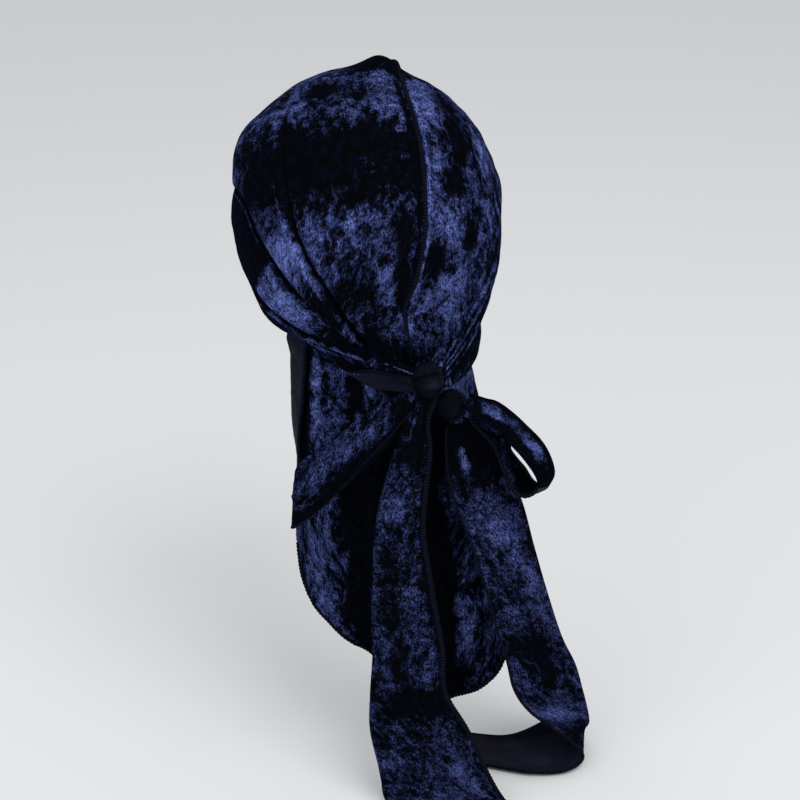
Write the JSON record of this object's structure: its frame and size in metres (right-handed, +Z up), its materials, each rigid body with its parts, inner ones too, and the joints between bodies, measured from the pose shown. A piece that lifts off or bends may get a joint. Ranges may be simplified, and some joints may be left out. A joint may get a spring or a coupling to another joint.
{
  "type": "durag",
  "caption": "Velvet head wrap shaped to a head, with a raised centre seam, long side straps tied in a bow at the nape, and a flap that hangs over the neck.",
  "frame": {"origin": "middle of the hollow that the head fills", "axes": "+Z up, the wearer looks along -Y, the wearer's left is +X"},
  "size_m": [0.2088, 0.2826, 0.4399],
  "materials": {
    "velvet": "crushed velvet pile",
    "stitched_edge": "turned hem with overlocked edge"
  },
  "bodies": {
    "root": {"crown_left": "velvet", "crown_right": "velvet", "centre_seam": "stitched_edge", "front_hem": "stitched_edge", "left_strap": "velvet", "right_strap": "velvet", "flap": "velvet", "left_tail": "velvet", "right_tail": "velvet", "left_loop": "velvet", "right_loop": "velvet", "knot": "velvet", "knot_wrap": "velvet"}
  },
  "joints": []
}
